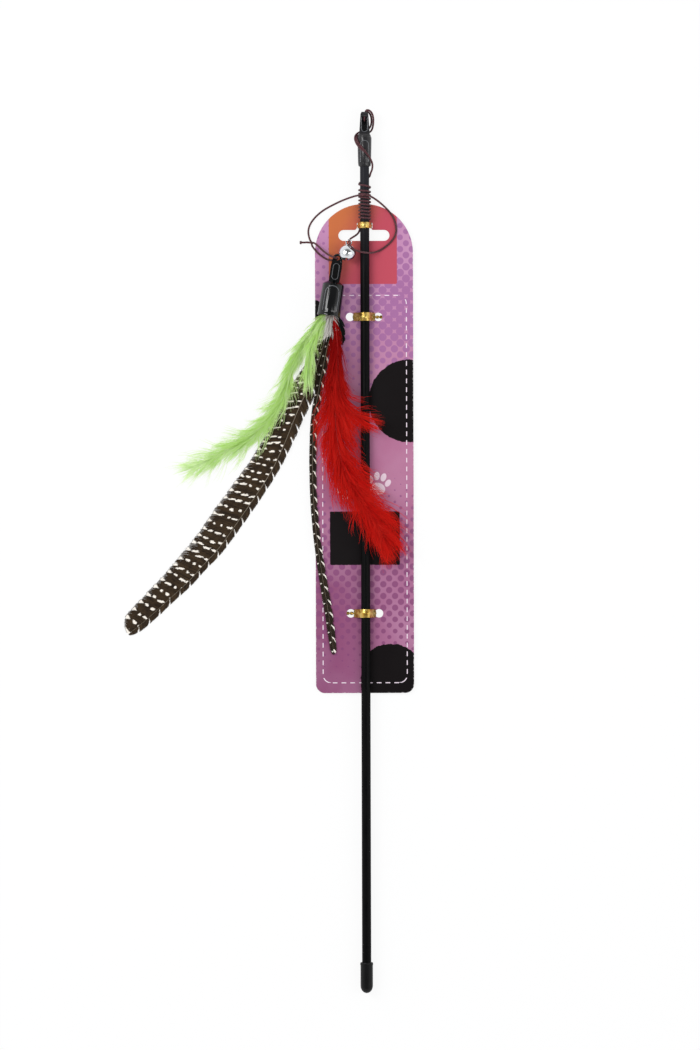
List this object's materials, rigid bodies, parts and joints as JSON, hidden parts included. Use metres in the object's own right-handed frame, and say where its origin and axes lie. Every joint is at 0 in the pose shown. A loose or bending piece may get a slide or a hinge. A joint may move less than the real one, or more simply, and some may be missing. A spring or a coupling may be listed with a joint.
{
  "type": "cat teaser wand",
  "caption": "Slim black wand on a slotted backing card, held by foil twist ties, with a cord wound round it, a bell and a feather lure.",
  "frame": {"origin": "on the rod's axis, at the lower end of the end cap's straight wall", "axes": "+Y along the rod towards the tip, +X to the right as the card faces the viewer, +Z out of the card's printed face"},
  "size_m": [0.1796, 0.5412, 0.0185],
  "materials": {
    "rod_plastic": "satin",
    "cap_plastic": "satin",
    "tip_plastic": "satin",
    "cord": "matte",
    "card": "satin",
    "foil": "metallic",
    "bell_metal": "polished",
    "steel": "satin",
    "lure_plastic": "gloss",
    "glue": "satin",
    "guinea": "matte",
    "lime": "matte",
    "red": "matte",
    "fluff": "matte",
    "dark": "matte"
  },
  "bodies": {
    "wand": {"rod": "rod_plastic", "end_cap": "cap_plastic", "tip_connector": "tip_plastic", "cord_lead": "cord", "cord_hitch": "cord", "cord_winding": "cord", "cord_loop": "cord", "cord_eye": "cord", "cord_tail": "cord", "tip_knot": "cord", "eye_knot": "cord", "tail_knot": "cord", "backing_card": "card", "twist_tie_top": "foil", "twist_tie_middle": "foil", "twist_tie_bottom": "foil"},
    "bell": {"bell_upper_shell": "bell_metal", "bell_lower_shell": "bell_metal", "bell_loop": "bell_metal"},
    "pellet": {"bell_pellet": "steel"},
    "lure": {"lure_cap": "lure_plastic", "glue_plug": "glue", "base_fluff": "fluff", "dark_feather": "dark"},
    "guinea": {"guinea_feather_long": "guinea", "guinea_feather_narrow": "guinea"},
    "lime": {"lime_plume_long": "lime", "lime_plume_short": "lime"},
    "red": {"red_plume_long": "red", "red_plume_short": "red"}
  },
  "joints": [
    {"name": "lure_swing", "type": "hinge", "parent": "wand", "child": "lure", "pos_m": [-0.0166, 0.4448, 0.0017], "axis": [0, 0, 1], "range_deg": [-45, 1]},
    {"name": "bell_swing", "type": "hinge", "parent": "wand", "child": "bell", "pos_m": [-0.0098, 0.45431, 0.00748], "axis": [-0.037, -0.256, 0.966], "range_deg": [-3, 3]},
    {"name": "pellet_rattle", "type": "slide", "parent": "bell", "child": "pellet", "axis": [0, 0, 1], "range_m": [0, 0.0058]},
    {"name": "guinea_flex", "type": "hinge", "parent": "lure", "child": "guinea", "pos_m": [-0.0214, 0.4124, 0.0002], "axis": [0, 0, 1], "range_deg": [-4, 1.5], "stiffness_Nm_per_rad": 0.002},
    {"name": "lime_flex", "type": "hinge", "parent": "lure", "child": "lime", "pos_m": [-0.0242, 0.4121, 0.003], "axis": [0, 0, 1], "range_deg": [-4, 3], "stiffness_Nm_per_rad": 0.002},
    {"name": "red_flex", "type": "hinge", "parent": "lure", "child": "red", "pos_m": [-0.0192, 0.4126, 0.0045], "axis": [0, 0, 1], "range_deg": [-3, 2], "stiffness_Nm_per_rad": 0.002}
  ]
}
